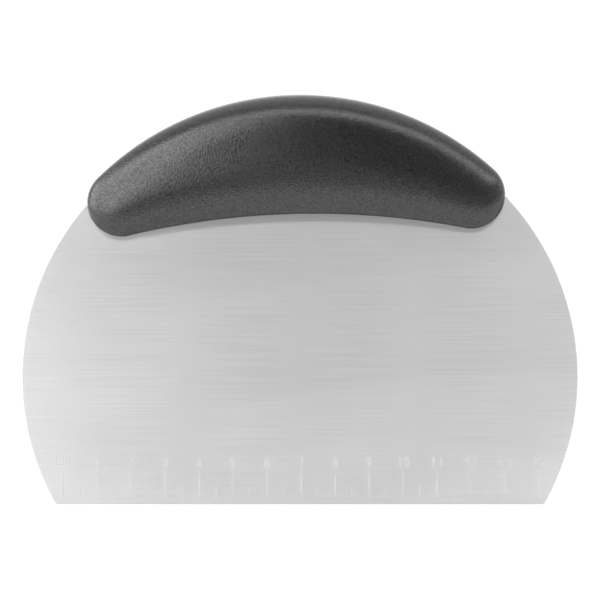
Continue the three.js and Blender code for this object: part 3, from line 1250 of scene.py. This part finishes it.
        plan = 1.0 - end_thinning * (x / half_length) ** 2.0
        full = half_thickness * plan - drawn_in
        at_widest = filled(bottom + widest_share * tall)
        widest = full * at_widest
        lip = (flank(drawn_in / height, half_lip, half_thickness) - drawn_in) * plan * at_widest
        rounding = lip_radius.at_most(tall / self.LIP_TALL).at_most(lip / self.LIP_THICK)

        # Crown, with the seam's stretch of small steps at its top.
        seam_half = seam_width.at_most(widest * self.SEAM_SHARE)
        seam_angle = ((seam_half / full) ** (crown_power / 2.0)).arcsine()
        seam_y = seam_half * (w / seam_end)
        seam_turn = ((seam_y / full) ** (crown_power / 2.0)).arcsine()
        crown_share = (w - seam_end) / (crown_end - seam_end)
        crown_turn = seam_angle + (math.pi / 2 - seam_angle) * crown_share
        on_seam = w < seam_end * self.JUST_PAST
        angle = on_seam.choose(seam_turn, crown_turn)
        crown_up = angle.cosine().at_least(0.0) ** (2.0 / crown_power)
        crown_z = bottom + tall * (widest_share + (1.0 - widest_share) * crown_up)
        crown_y = on_seam.choose(seam_y, full * filled(crown_z))

        # Flank, straight down to where the lip's rounding starts.
        flank_share = (w - crown_end) / (flank_end - crown_end)
        flank_rise = widest_share * tall * (1.0 - flank_share) + rounding * flank_share
        flank_y = flank(flank_rise / tall, lip, widest)
        flank_z = bottom + flank_rise

        # Lip: a parabola that leaves the flank and meets the underside.
        t = (w - flank_end) / (lip_end - flank_end)
        lip_start = flank(rounding / tall, lip, widest)
        lip_y = (1.0 - t) ** 2.0 * lip_start + t * (1.0 - t) * 2.0 * lip + t**2.0 * (lip - rounding)
        lip_z = bottom + (1.0 - t) ** 2.0 * rounding
        under_y = (lip - rounding) * (1.0 - (w - lip_end) / (1.0 - lip_end))

        ends = (crown_end, flank_end, lip_end)
        on_crown, on_flank, on_lip = (w < end + self.MARGIN for end in ends)
        out = on_crown.choose(crown_y, on_flank.choose(flank_y, on_lip.choose(lip_y, under_y)))
        up = on_crown.choose(crown_z, on_flank.choose(flank_z, on_lip.choose(lip_z, bottom)))
        out = (tall < self.NO_HEIGHT).choose(out * 0.0, out)
        side = front.choose(out * -1.0, out)
        shape = {"Geometry": grid.outputs["Mesh"], "Position": combine(x, side, up)}
        bent = add_node(tree, "GeometryNodeSetPosition", inputs=shape)
        mesh = program.run(bent.outputs[0], material)
        tidy_mesh(mesh, self.body_merge)
        return mesh

    def build(self, blade: Blade, plastic: bpy.types.Material) -> bpy.types.Object:
        """Makes the skin: the outer shape with its cavity, the blade's slot and the bridges.

        Args:
            blade: the blade that comes out of it.
            plastic: the skin's finish.

        Returns:
            The piece.
        """
        outer = self.body(0.0, self.seam_height, Detail.SKIN, plastic)
        cavity = self.body(self.wall, 0.0, Detail.CAVITY, plastic)
        slot_width = blade.thickness + 2 * self.fit
        slot = upright_sheet([blade.outline(self.fit)], slot_width, self.slot_rim)
        slot.transform(self.place.inverted())
        slot.materials.append(plastic)
        skin = combined(outer, [cavity, slot], Joining.CUT)
        bridges = [
            round_bar(x, z, self.bridge_radius, self.thickness - 2 * self.wall + self.bridge_bite)
            for x, z, radius in blade.anchors()
            if radius == blade.window_radius
        ]
        skin = combined(skin, bridges, Joining.ADD)
        tidy_mesh(skin, self.skin_merge)
        skin.transform(self.place)
        shade(skin, self.crease)
        return finish_piece("grip_skin", skin, "grip_plastic", "grip")


# ---- Cores ------------------------------------------------------------------------------


@dataclass
class Cores:
    """The two pre-moulded halves inside the skin, which keep their CAD shape."""

    nodes: tuple[str, ...] = ("core_front", "core_rear")

    def dress(self, plastic: bpy.types.Material) -> None:
        """Gives both halves their finish.

        Args:
            plastic: the finish.
        """
        for name in self.nodes:
            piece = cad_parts[name]
            piece.data.materials.clear()
            piece.data.materials.append(plastic)
            LOG.info("%s: dressed", name)


# ---- Studio -----------------------------------------------------------------------------


@dataclass(frozen=True)
class Softbox:
    """A flat rectangular light that faces a point."""

    name: str
    azimuth: float  # degrees round from straight in front, positive to the right
    elevation: float
    distance: float
    width: float
    height: float
    watts: float
    only: str = ""  # the one piece that it lights, where flags keep it off the rest

    def build(self, target: Vector) -> None:
        """Hangs the light.

        Args:
            target: the point that it faces.
        """
        data = bpy.data.lights.new(self.name, "AREA")
        data.shape = "RECTANGLE"
        data.size, data.size_y = self.width, self.height
        data.energy = self.watts
        lamp = new_object(self.name, data)
        turn, lift = math.radians(self.azimuth), math.radians(self.elevation)
        level = math.cos(lift)
        away = Vector((math.sin(turn) * level, -math.cos(turn) * level, math.sin(lift)))
        lamp.location = target + away * self.distance
        lamp.rotation_euler = (-away).to_track_quat("-Z", "Y").to_euler()
        if self.only:
            lit = bpy.data.collections.new(self.name + "_lit")
            lit.objects.link(bpy.data.objects[self.only])
            lamp.light_linking.receiver_collection = lit


@dataclass
class Studio:
    """A pale table in a white room that is brighter behind the object than in front of it."""

    view_width: float = mm(176.6)  # seen across the blade's plane
    camera_distance: float = 0.9
    aim_height: float = mm(60.2)  # of the middle of the view above the table
    sensor: float = 36.0
    table_width: float = 1.6
    table_front: float = 0.12
    table_back: float = 0.37
    room_front: float = 0.04
    room_behind: float = 1.5
    room_below: float = 1.0  # the pale studio floor round the table
    room_turn: tuple[float, float] = (-0.95, 0.1)  # from front to behind, as a share of Y
    floor_turn: tuple[float, float] = (-0.75, 0.0)  # from below to level, as a share of Z
    backdrop: float = 1.05
    softboxes: tuple[Softbox, ...] = field(
        default_factory=lambda: (
            Softbox("top_softbox", 0, 51, 1.1, 1.8, 0.17, 5.3),
            Softbox("end_softbox", 60, 30, 1.1, 0.5, 0.14, 1.1),
            Softbox("left_softbox", -32, 9, 1.1, 0.92, 1.35, 6.15),
            Softbox("side_softbox", -76, 9, 1.1, 0.72, 1.35, 12.0),
            Softbox("fill_softbox", 36, 10, 1.1, 0.92, 1.2, 0.8),
            Softbox("handle_softbox", -32, 9, 1.12, 0.92, 1.35, 9.2, "grip_skin"),
            Softbox("blade_softbox", 32, 5, 1.12, 0.92, 1.2, 2.0, "blade_sheet"),
        )
    )

    def build_table(self, laminate: bpy.types.Material) -> None:
        """Lays the table that the scraping edge stands on.

        Args:
            laminate: the table's finish.
        """
        x, front, back = self.table_width / 2, -self.table_front, self.table_back
        mesh = bpy.data.meshes.new("table_top")
        corners = [(-x, front, 0), (x, front, 0), (x, back, 0), (-x, back, 0)]
        mesh.from_pydata(corners, [], [(0, 1, 2, 3)])
        mesh.materials.append(laminate)
        new_object("table_top", mesh)

    def build_room(self) -> None:
        """Sets the light that comes from the room itself."""
        world = bpy.data.worlds.new("studio_room")
        bpy.context.scene.world = world
        world.use_nodes = True
        tree = world.node_tree
        tree.nodes.clear()
        direction = add_node(tree, "ShaderNodeTexCoord").outputs["Generated"]
        split = add_node(tree, "ShaderNodeSeparateXYZ", inputs={0: direction})
        kinds = ("SMOOTHSTEP", "LINEAR")
        turns = (self.room_turn, self.floor_turn)
        levels = ((self.room_front, self.room_behind), (self.room_below, 0.0))
        ramps = []
        for axis, kind, turn, level in zip((1, 2), kinds, turns, levels):
            limits = dict(zip(("From Min", "From Max", "To Min", "To Max"), (*turn, *level)))
            ramp = {"Value": split.outputs[axis], **limits}
            node = add_node(tree, "ShaderNodeMapRange", {"interpolation_type": kind}, ramp)
            ramps.append(Field(tree, node.outputs[0]))
        brighter = ramps[0].at_least(ramps[1]).socket
        light = add_node(tree, "ShaderNodeBackground", inputs={"Strength": brighter})
        shown = add_node(tree, "ShaderNodeBackground", inputs={"Strength": self.backdrop})
        seen = add_node(tree, "ShaderNodeLightPath").outputs["Is Camera Ray"]
        sides = {0: seen, 1: light.outputs[0], 2: shown.outputs[0]}
        both = add_node(tree, "ShaderNodeMixShader", inputs=sides)
        add_node(tree, "ShaderNodeOutputWorld", inputs={"Surface": both.outputs[0]})
        for background in (light, shown):
            background.inputs["Color"].default_value = (1, 1, 1, 1)

    def build_camera(self, target: Vector) -> None:
        """Sets the camera straight in front of the object's middle.

        Args:
            target: the point in the middle of the picture.
        """
        data = bpy.data.cameras.new("camera")
        data.sensor_width = self.sensor
        data.lens = self.sensor * self.camera_distance / self.view_width
        camera = new_object("camera", data)
        camera.location = target + Vector((0, -self.camera_distance, 0))
        camera.rotation_euler = (math.pi / 2, 0, 0)
        bpy.context.scene.camera = camera

    def build(self, laminate: bpy.types.Material) -> None:
        """Builds the table, the room, the lights and the camera.

        Args:
            laminate: the table's finish.
        """
        middle = Vector((0, 0, self.aim_height))
        self.build_table(laminate)
        self.build_room()
        for softbox in self.softboxes:
            softbox.build(middle)
        self.build_camera(middle)
        bpy.context.scene.view_settings.view_transform = "Standard"
        LOG.info("studio: %d softboxes", len(self.softboxes))


# ---- Main -------------------------------------------------------------------------------


def main() -> None:
    """Builds the pieces, dresses them and sets the studio round them."""
    logging.basicConfig(level=logging.INFO, format="%(name)s %(message)s")
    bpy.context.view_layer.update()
    handle = Handle()
    blade = Blade(handle)
    blade.build(BrushedStainless().material(), EtchedStainless().material())
    handle.build(blade, SparkErodedPlastic().material())
    Cores().dress(MouldedCore().material())
    Studio().build(PaleLaminate().material())


if __name__ == "__main__":
    main()
